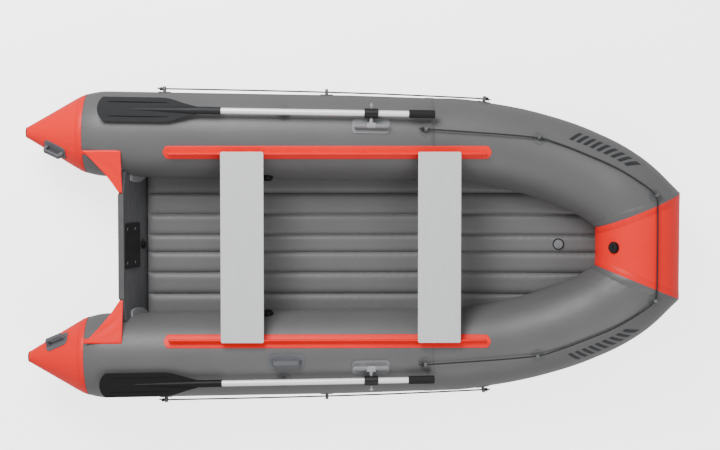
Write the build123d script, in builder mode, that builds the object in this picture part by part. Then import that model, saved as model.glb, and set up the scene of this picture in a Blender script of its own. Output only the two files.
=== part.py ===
from build123d import *
import math
import os

# Inflatable dinghy with an inflatable floor.
# Frame: +X to the bow, +Y to port, +Z up, origin below the middle of the boat on the ground.
# Everything on the port side is built in the port tube's own frame: t forward, u outboard, v up.

# Side tubes
tube_radius = 220.0
bow_tube_radius = 213.0
fabric = 2.0
tube_axis_height = 245.0
tube_axis_y = 556.5
toe_in = 0.935
stern_seam_t = -1384.0
shoulder_length = 127.0
stern_seam_radius = 196.0
taper_start_t = 0.0
chamber_seam_t = 400.0

# Curved fore part of the side tube: corners of its axis, rounded by arcs, up to the bow mitre
first_corner_t = 567.0
fore_axis_corners = [(855, 500, 253), (1092, 430, 279), (1283, 341, 320), (1401, 258.5, 356)]
mitre_point = (1471, 187.1, 356)
fore_end_heading = (0.70, -0.714, 0)
mitre_overrun = 240.0
fore_panel_seams = [235.0, 470.0, 705.0, 940.0]

# Stern cones
cone_half_angle = 30.4
cone_tip_t = -1678.0
cone_cap_thickness = 6.0
bulkhead_depth = 80.0
bulkhead_fabric = 1.5

# Inflatable floor
floor_seams_y = [46.0, 155.0, 268.0]
floor_crest_z = 130.0
floor_seam_z = 108.0
floor_lower_seam_z = 24.0
floor_lower_crest_z = 6.0
floor_side_y = 385.0
floor_bulge_y = 440.0
floor_knee_x = 600.0
floor_fore_x = 1350.0
floor_fore_slope = 0.14
web_fabric = 1.5
keel_guard_width = 90.0
skid_width = 50.0
skid_y = 211.5
keel_guard_aft_x = -1000.0
keel_guard_fore_x = 560.0
keel_guard_lip = 3.0

# Transom
rake = 15.0
transom_foot_x = -1091.0
transom_thickness = 25.0
transom_top_z = 400.0
transom_bottom_z = 26.0
transom_flat_half = 272.0
transom_shoulder_drop = 48.0
transom_foot_half = 392.0
transom_cheek_half = 440.0
transom_cheek_rise = 50.0
transom_widest_half = 480.0
holder_wall = 10.0
holder_reach = 28.0
holder_web = 3.7
motor_plate_thickness = 6.0
inner_plate_width = 234.0
inner_plate_height = 190.0
outer_plate_width = 265.0
outer_plate_height = 150.0
plate_drop = 14.0
screw_head_radius = 7.0
screw_head_height = 4.0
drain_height_z = 157.0
drain_radius = 12.0
drain_flange_radius = 25.0

# Seats
rail_y = 472.0
rail_strip_y = 480.0
rail_strip_width = 66.0
rail_strip_thickness = 3.0
rail_aft_x = -954.0
rail_fore_x = 707.0
bead_radius = 5.0
bead_z = 478.0
rail_web = 4.0
bench_length = 966.0
bench_width = 217.0
bench_thickness = 12.0
bench_positions = {"rear": -553.0, "front": 443.5}
track_height = 16.0
track_width = 22.0
track_clearance = 0.5

# Oars and oarlocks, in the tube's frame
oar_u = 122.0
oar_v = 238.0
shaft_radius = 15.0
shaft_wall = 1.5
blade_tip_t = -1280.0
blade_root_t = -771.0
sleeve_end_t = -660.0
blade_width = 122.0
blade_thickness = 10.0
shaft_joint_t = -390.0
grip_start_t = 286.0
grip_end_t = 418.0
grip_radius = 21.0
pin_t = 97.0
pin_radius = 5.0
collar_radius = 25.0
collar_length = 70.0
hinge_u = 58.0
hinge_rod_radius = 4.0
hinge_barrel_radius = 12.0
oarlock_block_length = 44.0
oarlock_base_length = 190.0
clip_t = -349.0
clip_height_over_axis = 4.0
clip_clearance = 0.4
running_gap = 0.3
fit_gap = 0.05

# Fittings
eye_patch_radius = 33.0
eye_height = 18.0
eye_hole_radius = 6.5
eye_tab_thickness = 16.0
patch_thickness = 3.0
valve_flange_radius = 30.0
valve_barrel_radius = 20.0
valve_cap_radius = 24.0
valve_cap_height = 12.0
valve_t = -430.0
valve_angle = -72.0
bow_valve_angle = 44.0
floor_valve_x = 1089.0
handle_height = 38.0
handle_gap = 26.0
handle_bar_width = 22.0
tow_eye_angle = -130.0
rope_diameter = 8.0
tether_diameter = 3.0

toe_cos = math.cos(math.radians(toe_in))
toe_sin = math.sin(math.radians(toe_in))
side = Plane(origin=(0, tube_axis_y, tube_axis_height), x_dir=(toe_cos, -toe_sin, 0), z_dir=(0, 0, 1))
forward = side.x_dir
outboard = side.y_dir
up = side.z_dir

os.makedirs("parts", exist_ok=True)


def write(piece, name):
    piece.part.label = name
    export_step(piece.part, f"parts/{name}.step")


def at_side(t, u=0.0, v=0.0):
    return Vector(side.from_local_coords((t, u, v)))


def across(t, u=0.0, v=0.0):
    """Plane square to the port tube at t, its x outboard and its y up."""
    return Plane(origin=at_side(t, u, v), x_dir=outboard, z_dir=forward)


def on_tube(station, radius, angle):
    """Plane on the skin of a round tube, angle degrees outboard of its top, with x along the tube."""
    normal = station.z_dir * math.cos(math.radians(angle)) + station.y_dir * math.sin(math.radians(angle))
    return Plane(origin=station.origin + normal * radius, x_dir=station.x_dir, z_dir=normal)


def station_at(t):
    return Plane(origin=at_side(t), x_dir=forward, z_dir=up)


# ---------------------------------------------------------------- envelopes of the tubes

revolve_axis = Axis(at_side(0), forward)
half_section = Plane(origin=at_side(0), x_dir=forward, z_dir=outboard * -1)


def route_radii(points, held):
    """Radius at each corner of a route: the one held there, or as large as the two runs allow."""
    radii = []
    for index in range(1, len(points) - 1):
        before = Vector(*points[index]) - Vector(*points[index - 1])
        after = Vector(*points[index + 1]) - Vector(*points[index])
        half_turn = math.radians(before.get_angle(after)) / 2
        free = 0.45 * min(before.length, after.length) / math.tan(half_turn)
        radii.append(min(free, held.get(index, free)))
    return radii


beyond_mitre = Vector(*mitre_point) + Vector(*fore_end_heading).normalized() * mitre_overrun
fore_route = [
    tuple(at_side(chamber_seam_t)),
    tuple(at_side(first_corner_t)),
    *fore_axis_corners,
    tuple(beyond_mitre),
]
fore_axis = FilletPolyline(*fore_route, radius=route_radii(fore_route, {}))


def fore_station(run):
    """Upright plane at run millimetres along the fore axis from the chamber seam."""
    heading = fore_axis % (run / fore_axis.length)
    side_way = Vector(0, 0, 1).cross(heading).normalized()
    return Plane(origin=fore_axis @ (run / fore_axis.length), x_dir=heading, z_dir=heading.cross(side_way))


def fore_envelope(extra):
    """The fore part of the port tube as a solid, extra millimetres fatter than its skin."""
    with BuildPart() as envelope:
        for edge in fore_axis.edges():
            with BuildSketch(Plane(origin=edge @ 0, x_dir=(0, 0, 1), z_dir=edge % 0)):
                Circle(bow_tube_radius + extra)
            if edge.geom_type == GeomType.LINE:
                extrude(amount=edge.length)
            else:
                turn_axis = Axis(edge.arc_center, (edge % 0).cross(edge % 1).normalized())
                revolve(axis=turn_axis, revolution_arc=math.degrees(edge.length / edge.radius))
    return envelope.part


def aft_envelope(extra):
    """The aft part of the port tube as a solid, tapering to the bow radius at its chamber seam."""
    with BuildPart() as envelope:
        with BuildSketch(half_section):
            with BuildLine():
                Polyline(
                    (stern_seam_t, 0),
                    (stern_seam_t, tube_radius + extra),
                    (taper_start_t, tube_radius + extra),
                    (chamber_seam_t, bow_tube_radius + extra),
                    (chamber_seam_t, 0),
                    close=True,
                )
            make_face()
        revolve(axis=revolve_axis)
    return envelope.part


def bow_envelope(extra):
    with BuildPart() as envelope:
        with BuildSketch(Plane(origin=(mitre_point[0], 0, mitre_point[2]), x_dir=(1, 0, 0), z_dir=(0, 1, 0))):
            Circle(bow_tube_radius + extra)
        extrude(amount=2 * mitre_point[1], both=True)
    return envelope.part


aft_near = aft_envelope(running_gap)
fore_near = fore_envelope(running_gap)
bow_near = bow_envelope(running_gap)
mitre_normal = (Vector(*fore_end_heading).normalized() + Vector(0, -1, 0)).normalized()
mitre_plane = Plane(origin=mitre_point, x_dir=(0, 0, 1), z_dir=mitre_normal)
mirror_mitre_plane = Plane(
    origin=(mitre_point[0], -mitre_point[1], mitre_point[2]),
    x_dir=(0, 0, 1),
    z_dir=(mitre_normal.X, -mitre_normal.Y, 0),
)

# ---------------------------------------------------------------- port tube, cone and bulkhead

shoulder_end_t = stern_seam_t + shoulder_length
shoulder_drop = tube_radius - stern_seam_radius
shoulder_radius = (shoulder_length**2 + shoulder_drop**2) / (2 * shoulder_drop)


def shoulder_profile_radius(t, wall):
    return tube_radius - shoulder_radius + math.sqrt(shoulder_radius**2 - (t - shoulder_end_t) ** 2) - wall


side_valve_plane = on_tube(station_at(valve_t), tube_radius, valve_angle)

with BuildPart() as tube_port_aft:
    with BuildSketch(half_section):
        with BuildLine():
            middle_t = (stern_seam_t + shoulder_end_t) / 2
            outer_arc = ThreePointArc(
                (stern_seam_t, shoulder_profile_radius(stern_seam_t, 0)),
                (middle_t, shoulder_profile_radius(middle_t, 0)),
                (shoulder_end_t, tube_radius),
            )
            Polyline(
                (shoulder_end_t, tube_radius),
                (taper_start_t, tube_radius),
                (chamber_seam_t, bow_tube_radius),
                (chamber_seam_t, bow_tube_radius - fabric),
                (taper_start_t, tube_radius - fabric),
                (shoulder_end_t, tube_radius - fabric),
            )
            inner_arc = ThreePointArc(
                (shoulder_end_t, tube_radius - fabric),
                (middle_t, shoulder_profile_radius(middle_t, fabric)),
                (stern_seam_t, shoulder_profile_radius(stern_seam_t, fabric)),
            )
            Line(inner_arc @ 1, outer_arc @ 0)
        make_face()
    revolve(axis=revolve_axis)
    with BuildSketch(side_valve_plane):
        Circle(valve_barrel_radius + fit_gap)
    extrude(amount=20, both=True, mode=Mode.SUBTRACT)

cone_turn = shoulder_radius * math.sin(math.radians(cone_half_angle))
cone_straight_t = shoulder_end_t - cone_turn
cone_slope = math.tan(math.radians(cone_half_angle))
cone_straight_radius = shoulder_profile_radius(cone_straight_t, 0)
cone_tip_radius = cone_straight_radius - (cone_straight_t - cone_tip_t) * cone_slope


def cone_solid(extra):
    """The solid inside a stern cone's skin, extra millimetres fatter than it."""
    with BuildPart() as envelope:
        with BuildSketch(half_section):
            with BuildLine():
                middle_t = (stern_seam_t + cone_straight_t) / 2
                Polyline(
                    (stern_seam_t, 0),
                    (cone_tip_t, 0),
                    (cone_tip_t, cone_tip_radius + extra),
                    (cone_straight_t, cone_straight_radius + extra),
                )
                ThreePointArc(
                    (cone_straight_t, cone_straight_radius + extra),
                    (middle_t, shoulder_profile_radius(middle_t, -extra)),
                    (stern_seam_t, stern_seam_radius + extra),
                )
                Line((stern_seam_t, stern_seam_radius + extra), (stern_seam_t, 0))
            make_face()
        revolve(axis=revolve_axis)
    return envelope.part


with BuildPart() as stern_cone_port:
    add(cone_solid(0))
    add(cone_solid(-fabric), mode=Mode.SUBTRACT)
    with BuildSketch(across(cone_tip_t)):
        Circle(cone_tip_radius - fabric / 2)
    extrude(amount=fabric)

with BuildPart() as cone_cap_port:
    with BuildSketch(across(cone_tip_t)):
        Circle(cone_tip_radius)
    extrude(amount=-cone_cap_thickness)
    fillet(cone_cap_port.faces().sort_by(Axis.X)[0].edges(), cone_cap_thickness * 0.8)

with BuildPart() as bulkhead_port:
    with BuildSketch(half_section):
        with BuildLine():
            lip_radius = bow_tube_radius - fabric - running_gap
            Polyline(
                (chamber_seam_t, lip_radius),
                (chamber_seam_t + bulkhead_depth, lip_radius * 0.45),
                (chamber_seam_t + bulkhead_depth, 0),
                (chamber_seam_t + bulkhead_depth - bulkhead_fabric, 0),
                (chamber_seam_t + bulkhead_depth - bulkhead_fabric, lip_radius * 0.45 - bulkhead_fabric),
                (chamber_seam_t, lip_radius - bulkhead_fabric),
                close=True,
            )
        make_face()
    revolve(axis=revolve_axis)

with BuildPart() as tube_port_fore:
    add(fore_envelope(0))
    add(fore_envelope(-fabric), mode=Mode.SUBTRACT)
    split(bisect_by=mitre_plane, keep=Keep.BOTTOM)

fore_panels = []
uncut = tube_port_fore.part.solid()
for seam in fore_panel_seams:
    seam_way = fore_axis % (seam / fore_axis.length)
    seam_plane = Plane(origin=fore_axis @ (seam / fore_axis.length), x_dir=(0, 0, 1), z_dir=seam_way)
    fore_panels.append(uncut.split(seam_plane, keep=Keep.BOTTOM))
    uncut = uncut.split(seam_plane, keep=Keep.TOP)
fore_panels.append(uncut)

# ---------------------------------------------------------------- bow tube


bow_station = Plane(origin=(mitre_point[0], 0, mitre_point[2]), x_dir=(0, 1, 0), z_dir=(0, 0, 1))
bow_valve_plane = on_tube(bow_station, bow_tube_radius, bow_valve_angle)

with BuildPart() as bow_tube:
    add(bow_envelope(0))
    add(bow_envelope(-fabric), mode=Mode.SUBTRACT)
    split(bisect_by=mitre_plane, keep=Keep.TOP)
    split(bisect_by=mirror_mitre_plane, keep=Keep.TOP)
    with BuildSketch(bow_valve_plane):
        Circle(valve_barrel_radius + fit_gap)
    extrude(amount=20, both=True, mode=Mode.SUBTRACT)
write(bow_tube, "bow_tube")

# ---------------------------------------------------------------- floor

rake_cos = math.cos(math.radians(rake))
rake_sin = math.sin(math.radians(rake))
transom_face = Plane(
    origin=(transom_foot_x, 0, floor_crest_z), x_dir=(0, 1, 0), z_dir=(rake_cos, 0, rake_sin)
)
floor_fore_run = floor_fore_x - floor_knee_x
floor_aft_start = transom_foot_x - 60


def floor_section(inset):
    """Cross-section of the floor at the knee: seven chambers, with arcs between their seams."""
    top = floor_seam_z - inset
    low = floor_lower_seam_z + inset
    edges = [-floor_side_y + inset, *[-y for y in reversed(floor_seams_y)], *floor_seams_y, floor_side_y - inset]
    with BuildSketch(Plane(origin=(floor_knee_x, 0, 0), x_dir=(0, 1, 0), z_dir=(1, 0, 0))) as section:
        with BuildLine():
            for left, right in zip(edges, edges[1:]):
                middle = (left + right) / 2
                ThreePointArc((left, top), (middle, floor_crest_z - inset), (right, top))
                ThreePointArc((left, low), (middle, floor_lower_crest_z + inset), (right, low))
            for sign in (-1, 1):
                ThreePointArc(
                    (sign * (floor_side_y - inset), top),
                    (sign * (floor_bulge_y - inset), (top + low) / 2),
                    (sign * (floor_side_y - inset), low),
                )
        make_face()
    return section.sketch


def floor_plan(inset):
    """Upright solid over the floor's plan outline, which follows the side tubes."""
    with BuildPart() as plan:
        with BuildSketch(Plane.XY.offset(-50)):
            with BuildLine():
                edge = Spline(
                    (floor_aft_start, 432 - inset),
                    (0, 408 - inset),
                    (floor_knee_x, 390 - inset),
                    (880, 345 - inset),
                    (1160, 255 - inset),
                    (floor_fore_x - inset, 150 - inset),
                )
                Line(edge @ 1, (floor_fore_x - inset, 0))
                Line((floor_fore_x - inset, 0), (floor_aft_start, 0))
                Line((floor_aft_start, 0), edge @ 0)
            make_face()
            mirror(about=Plane.XZ)
        extrude(amount=500)
    return plan.part


def floor_block(inset):
    """The floor as a solid, inset from its skin: flat aft of the knee, rising ahead of it."""
    gap = inset + running_gap
    with BuildPart() as block:
        add(floor_section(inset))
        extrude(amount=floor_knee_x - floor_aft_start, dir=(-1, 0, 0))
        add(floor_section(inset))
        extrude(amount=floor_fore_run * math.sqrt(1 + floor_fore_slope**2), dir=(1, 0, floor_fore_slope))
        add(floor_plan(inset), mode=Mode.INTERSECT)
        for envelope in (aft_envelope(gap), fore_envelope(gap)):
            add(envelope, mode=Mode.SUBTRACT)
            add(envelope.mirror(Plane.XZ), mode=Mode.SUBTRACT)
        add(bow_envelope(gap), mode=Mode.SUBTRACT)
        split(bisect_by=transom_face.offset(gap), keep=Keep.TOP)
    return block.part


floor_outer = floor_block(0)
floor_inner = floor_block(fabric)
floor_cavity = floor_block(fabric + running_gap)
floor_near = floor_block(-running_gap)
floor_valve_z = floor_crest_z + (floor_valve_x - floor_knee_x) * floor_fore_slope
floor_tilt = math.hypot(1, floor_fore_slope)
floor_valve_plane = Plane(
    origin=(floor_valve_x, 0, floor_valve_z),
    x_dir=(0, 1, 0),
    z_dir=(-floor_fore_slope / floor_tilt, 0, 1 / floor_tilt),
)
middle_z = (floor_seam_z + floor_lower_seam_z) / 2

with BuildPart() as below_middle:
    with BuildSketch(Plane.XZ):
        with BuildLine():
            Polyline(
                (floor_aft_start, -50),
                (floor_aft_start, middle_z),
                (floor_knee_x, middle_z),
                (floor_fore_x + 100, middle_z + (floor_fore_run + 100) * floor_fore_slope),
                (floor_fore_x + 100, -50),
                close=True,
            )
        make_face()
    extrude(amount=600, both=True)

with BuildPart() as floor_upper_skin:
    add(floor_outer)
    add(floor_inner, mode=Mode.SUBTRACT)
    add(below_middle.part, mode=Mode.SUBTRACT)
    with BuildSketch(floor_valve_plane):
        Circle(valve_barrel_radius + fit_gap)
    extrude(amount=30, both=True, mode=Mode.SUBTRACT)
write(floor_upper_skin, "floor_upper_skin")

with BuildPart() as floor_lower_skin:
    add(floor_outer)
    add(floor_inner, mode=Mode.SUBTRACT)
    add(below_middle.part, mode=Mode.INTERSECT)
write(floor_lower_skin, "floor_lower_skin")

with BuildPart() as floor_webs:
    for seam_y in floor_seams_y:
        for sign in (-1, 1):
            with BuildSketch(Plane.XZ.offset(-sign * seam_y)):
                with Locations(((floor_aft_start + floor_fore_x) / 2, 150)):
                    Rectangle(floor_fore_x - floor_aft_start + 200, 400)
            extrude(amount=web_fabric / 2, both=True)
    add(floor_cavity, mode=Mode.INTERSECT)
write(floor_webs, "floor_webs")

with BuildPart() as keel_guards:
    guard_length = keel_guard_fore_x - keel_guard_aft_x
    guard_height = floor_lower_crest_z + keel_guard_lip
    for guard_y, guard_width in ((0, keel_guard_width), (skid_y, skid_width), (-skid_y, skid_width)):
        with BuildSketch(Plane.XY):
            with Locations(((keel_guard_aft_x + keel_guard_fore_x) / 2, guard_y)):
                RectangleRounded(guard_length, guard_width, guard_width * 0.45)
        extrude(amount=guard_height)
    add(floor_outer, mode=Mode.SUBTRACT)
write(keel_guards, "keel_guards")

# ---------------------------------------------------------------- transom

board_top = (transom_top_z - floor_crest_z) / rake_cos
board_bottom = (transom_bottom_z - floor_crest_z) / rake_cos
board_clear = aft_envelope(holder_web + running_gap)

with BuildPart() as transom_board:
    with BuildSketch(transom_face):
        with BuildLine():
            Polyline(
                (-transom_foot_half, board_bottom),
                (transom_foot_half, board_bottom),
                (transom_cheek_half, board_bottom + transom_cheek_rise),
                (transom_widest_half, board_top - transom_shoulder_drop - 16),
                (transom_flat_half, board_top),
                (-transom_flat_half, board_top),
                (-transom_widest_half, board_top - transom_shoulder_drop - 16),
                (-transom_cheek_half, board_bottom + transom_cheek_rise),
                close=True,
            )
        make_face()
    extrude(amount=-transom_thickness)
    add(board_clear, mode=Mode.SUBTRACT)
    add(board_clear.mirror(Plane.XZ), mode=Mode.SUBTRACT)
    drain_v = (drain_height_z - floor_crest_z) / rake_cos
    with BuildSketch(transom_face.offset(5)):
        with Locations((0, drain_v)):
            Circle(drain_radius + 2)
    extrude(amount=-transom_thickness - 10, mode=Mode.SUBTRACT)

with BuildPart() as transom_trim:
    with BuildSketch(transom_face.offset(3)):
        with Locations((0, board_top - 4)):
            Rectangle(2 * transom_flat_half - 8, 16)
    extrude(amount=-transom_thickness - 6)
    with BuildSketch(transom_face.offset(fit_gap)):
        with Locations((0, board_top - 10)):
            Rectangle(2 * transom_flat_half + 20, 20)
    extrude(amount=-transom_thickness - 2 * fit_gap, mode=Mode.SUBTRACT)
write(transom_trim, "transom_trim")

with BuildPart() as board_groove:
    with BuildSketch(transom_face.offset(running_gap)):
        Rectangle(1000, 1000)
    extrude(amount=-transom_thickness - 2 * running_gap)
    add(aft_envelope(holder_web), mode=Mode.SUBTRACT)

with BuildPart() as transom_holder_port:
    with BuildSketch(transom_face.offset(holder_wall)):
        with Locations((410, (board_top - transom_shoulder_drop + board_bottom) / 2)):
            Rectangle(170, board_top - transom_shoulder_drop - 80 - board_bottom)
    extrude(amount=-transom_thickness - 2 * holder_wall)
    add(aft_envelope(holder_reach), mode=Mode.INTERSECT)
    add(aft_near, mode=Mode.SUBTRACT)
    add(board_groove.part, mode=Mode.SUBTRACT)
    add(floor_near, mode=Mode.SUBTRACT)

plate_top = board_top - plate_drop
inner_plate_middle = plate_top - inner_plate_height / 2
outer_plate_middle = plate_top - outer_plate_height / 2
screw_columns = inner_plate_width - 60
screw_rows = outer_plate_height - 50
screw_middle = outer_plate_middle

with BuildPart() as motor_plate_inner:
    with BuildSketch(transom_face):
        with Locations((0, inner_plate_middle)):
            RectangleRounded(inner_plate_width, inner_plate_height, 12)
    extrude(amount=motor_plate_thickness)
    with BuildSketch(transom_face.offset(motor_plate_thickness)):
        with Locations((0, screw_middle)):
            with GridLocations(screw_columns, screw_rows, 2, 2):
                Circle(screw_head_radius + fit_gap)
    extrude(amount=-screw_head_height, mode=Mode.SUBTRACT)
write(motor_plate_inner, "motor_plate_inner")

with BuildPart() as motor_plate_outer:
    with BuildSketch(transom_face.offset(-transom_thickness)):
        with Locations((0, outer_plate_middle)):
            RectangleRounded(outer_plate_width, outer_plate_height, 12)
    extrude(amount=-motor_plate_thickness)
    with BuildSketch(transom_face.offset(-transom_thickness - motor_plate_thickness)):
        with Locations((0, screw_middle)):
            with GridLocations(screw_columns, screw_rows, 2, 2):
                Circle(screw_head_radius + fit_gap)
    extrude(amount=screw_head_height, mode=Mode.SUBTRACT)
write(motor_plate_outer, "motor_plate_outer")

with BuildPart() as transom_screws:
    outer_face_offset = -transom_thickness - motor_plate_thickness
    for face, way in ((motor_plate_thickness, 1), (outer_face_offset, -1)):
        with BuildSketch(transom_face.offset(face)):
            with Locations((0, screw_middle)):
                with GridLocations(screw_columns, screw_rows, 2, 2):
                    Circle(screw_head_radius)
        extrude(amount=-way * screw_head_height)
write(transom_screws, "transom_screws")

with BuildPart() as drain_flange:
    with BuildSketch(transom_face.offset(running_gap)):
        with Locations((0, drain_v)):
            Circle(drain_flange_radius)
            Circle(drain_radius, mode=Mode.SUBTRACT)
    extrude(amount=5)
    with BuildSketch(transom_face.offset(5)):
        with Locations((0, drain_v)):
            Circle(drain_radius + 1.8)
            Circle(drain_radius, mode=Mode.SUBTRACT)
    extrude(amount=-transom_thickness - 8)
write(drain_flange, "drain_flange")

with BuildPart() as drain_plug:
    with BuildSketch(transom_face.offset(5 + 2 * running_gap)):
        with Locations((0, drain_v)):
            Circle(18)
    extrude(amount=7)
    fillet(drain_plug.edges().group_by(Axis.X)[-1], 2)
    with BuildSketch(transom_face.offset(7)):
        with Locations((0, drain_v)):
            Circle(drain_radius - fit_gap)
    extrude(amount=-24)
    with BuildSketch(transom_face.offset(11)):
        with Locations((0, drain_v)):
            SlotOverall(30, 7)
    extrude(amount=10)
write(drain_plug, "drain_plug")

# Fabric knee behind the transom, from its shoulder out to the tube
gusset_outer_y = 483.0
gusset_inner_y = 274.0
gusset_length = 168.0
gusset_drop = 44.0
gusset_thickness = 3.0
transom_back_top_x = transom_foot_x - (transom_top_z - floor_crest_z) * rake_sin / rake_cos
transom_back_top_x -= transom_thickness / rake_cos + 4
gusset_reach = math.hypot(gusset_outer_y - gusset_inner_y, gusset_drop)
gusset_tilt = math.asin(gusset_drop / gusset_reach)
gusset_offset = tube_axis_y - transom_back_top_x * toe_sin - gusset_outer_y
gusset_z = tube_axis_height + math.sqrt(tube_radius**2 - gusset_offset**2) - 1.5
gusset_plane = Plane(
    origin=(transom_back_top_x, gusset_outer_y, gusset_z),
    x_dir=(1, 0, 0),
    z_dir=(0, -math.sin(gusset_tilt), math.cos(gusset_tilt)),
)
with BuildPart() as transom_gusset_port:
    with BuildSketch(gusset_plane):
        with BuildLine():
            Polyline((-gusset_length, 0), (0, 0), (0, -gusset_reach), (-16, -gusset_reach))
            ThreePointArc(
                (-16, -gusset_reach),
                (-gusset_length / 2 + 6, -gusset_reach / 2 + 8),
                (-gusset_length, 0),
            )
        make_face()
    extrude(amount=gusset_thickness)
    add(aft_near, mode=Mode.SUBTRACT)

# ---------------------------------------------------------------- seat rails and benches

rail_length = rail_fore_x - rail_aft_x
rail_middle_x = (rail_fore_x + rail_aft_x) / 2
with BuildPart() as rail_strip_aft:
    with BuildSketch(Plane.XY.offset(tube_axis_height + tube_radius * 0.6)):
        with Locations((rail_middle_x, rail_strip_y)):
            RectangleRounded(rail_length, rail_strip_width, 20)
    extrude(amount=120)
    add(aft_envelope(rail_strip_thickness), mode=Mode.INTERSECT)
    add(aft_near, mode=Mode.SUBTRACT)
with BuildPart() as rail_strip_fore:
    with BuildSketch(Plane.XY.offset(tube_axis_height + tube_radius * 0.6)):
        with Locations((rail_middle_x, rail_strip_y)):
            RectangleRounded(rail_length, rail_strip_width, 20)
    extrude(amount=120)
    add(fore_envelope(rail_strip_thickness), mode=Mode.INTERSECT)
    add(fore_near, mode=Mode.SUBTRACT)
with BuildPart() as seat_rail_port:
    with BuildSketch(Plane(origin=(rail_aft_x + 24, 0, 0), x_dir=(0, 1, 0), z_dir=(1, 0, 0))):
        with Locations((rail_y, bead_z)):
            Circle(bead_radius)
        with Locations((rail_y, bead_z - 25)):
            Rectangle(rail_web, 50)
    extrude(amount=rail_length - 48)
    add(aft_near, mode=Mode.SUBTRACT)
    add(fore_near, mode=Mode.SUBTRACT)
    add(rail_strip_aft.part)
    add(rail_strip_fore.part)

bench_underside = bead_z + track_height / 2
for bench_name, bench_x in bench_positions.items():
    with BuildPart() as bench_board:
        with BuildSketch(Plane.XY.offset(bench_underside)):
            with Locations((bench_x, 0)):
                RectangleRounded(bench_width, bench_length, 9)
        extrude(amount=bench_thickness)
        fillet(bench_board.edges().group_by(Axis.Z)[-1], 2.5)
    write(bench_board, f"bench_{bench_name}_board")

    with BuildPart() as bench_tracks:
        for sign in (-1, 1):
            plane = Plane(
                origin=(bench_x - bench_width / 2 + 6, sign * rail_y, bead_z), x_dir=(0, 1, 0), z_dir=(1, 0, 0)
            )
            with BuildSketch(plane):
                Rectangle(track_width, track_height)
                Circle(bead_radius + track_clearance, mode=Mode.SUBTRACT)
                with Locations((0, -track_height / 2)):
                    Rectangle(rail_web + 2, track_height, mode=Mode.SUBTRACT)
            extrude(amount=bench_width - 12)
    write(bench_tracks, f"bench_{bench_name}_tracks")

# ---------------------------------------------------------------- oars

oar_plane = Plane(origin=at_side(0, oar_u, oar_v), x_dir=forward, z_dir=up)
pin_plane = Plane(origin=at_side(pin_t, oar_u, oar_v), x_dir=forward, z_dir=outboard)
half_blade = blade_width / 2
socket_radius = shaft_radius + 4
socket_depth_t = blade_root_t - 10

with BuildPart() as oar_blade_port:
    with BuildSketch(oar_plane):
        with BuildLine():
            ThreePointArc(
                (blade_tip_t + 30, half_blade), (blade_tip_t, 0), (blade_tip_t + 30, -half_blade)
            )
            for sign in (-1, 1):
                Line((blade_tip_t + 30, sign * half_blade), (blade_root_t - 190, sign * half_blade))
                Spline(
                    (blade_root_t - 190, sign * half_blade),
                    (blade_root_t - 90, sign * half_blade * 0.66),
                    (blade_root_t, sign * socket_radius * 0.9),
                    tangents=[(1, 0), (1, -sign * 0.2)],
                )
            Line((blade_root_t, socket_radius * 0.9), (blade_root_t, -socket_radius * 0.9))
        make_face()
    extrude(amount=blade_thickness / 2, both=True)
    with BuildSketch(across(socket_depth_t - 330, oar_u, oar_v)):
        Circle(blade_thickness * 0.55)
    with BuildSketch(across(socket_depth_t, oar_u, oar_v)):
        Circle(socket_radius)
    loft()
    with BuildSketch(across(socket_depth_t, oar_u, oar_v)):
        Circle(socket_radius)
    extrude(amount=sleeve_end_t - socket_depth_t)
    with BuildSketch(across(sleeve_end_t, oar_u, oar_v)):
        Circle(shaft_radius + fit_gap)
    extrude(amount=-90, mode=Mode.SUBTRACT)
    with BuildSketch(oar_plane.offset(blade_thickness / 2 - 2)):
        for slot_u in (-36, 36):
            with Locations(((blade_tip_t + blade_root_t) / 2 - 50, slot_u)):
                SlotOverall(300, 6)
    extrude(amount=4, mode=Mode.SUBTRACT)

with BuildPart() as oar_shaft_lower_port:
    with BuildSketch(across(sleeve_end_t - 88, oar_u, oar_v)):
        Circle(shaft_radius)
        Circle(shaft_radius - shaft_wall, mode=Mode.SUBTRACT)
    extrude(amount=shaft_joint_t - sleeve_end_t + 88)
    with BuildSketch(across(shaft_joint_t - 60, oar_u, oar_v)):
        Circle(shaft_radius - shaft_wall)
        Circle(shaft_radius - 2 * shaft_wall, mode=Mode.SUBTRACT)
    extrude(amount=60)
    with BuildSketch(across(shaft_joint_t - 60, oar_u, oar_v)):
        Circle(shaft_radius - shaft_wall - fit_gap)
        Circle(shaft_radius - 2 * shaft_wall - fit_gap, mode=Mode.SUBTRACT)
    extrude(amount=130)

with BuildPart() as oar_shaft_upper_port:
    with BuildSketch(across(shaft_joint_t + running_gap, oar_u, oar_v)):
        Circle(shaft_radius)
        Circle(shaft_radius - shaft_wall, mode=Mode.SUBTRACT)
    extrude(amount=grip_end_t - 15 - shaft_joint_t)
    with BuildSketch(pin_plane):
        Circle(pin_radius + running_gap)
    extrude(amount=60, both=True, mode=Mode.SUBTRACT)

with BuildPart() as oar_grip_port:
    with BuildSketch(across(grip_start_t, oar_u, oar_v)):
        Circle(grip_radius)
    extrude(amount=grip_end_t - grip_start_t)
    fillet(oar_grip_port.edges(), 5)
    with BuildSketch(across(grip_start_t, oar_u, oar_v)):
        Circle(shaft_radius + fit_gap)
    extrude(amount=grip_end_t - grip_start_t - 12, mode=Mode.SUBTRACT)

with BuildPart() as oar_collar_port:
    with BuildSketch(across(pin_t - collar_length / 2, oar_u, oar_v)):
        Circle(collar_radius)
    extrude(amount=collar_length)
    fillet(oar_collar_port.edges(), 3)
    with BuildSketch(across(pin_t - collar_length / 2, oar_u, oar_v)):
        Circle(shaft_radius + fit_gap)
    extrude(amount=collar_length, mode=Mode.SUBTRACT)
    with BuildSketch(pin_plane):
        Circle(pin_radius + running_gap)
    extrude(amount=60, both=True, mode=Mode.SUBTRACT)

# ---------------------------------------------------------------- oarlocks

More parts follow.
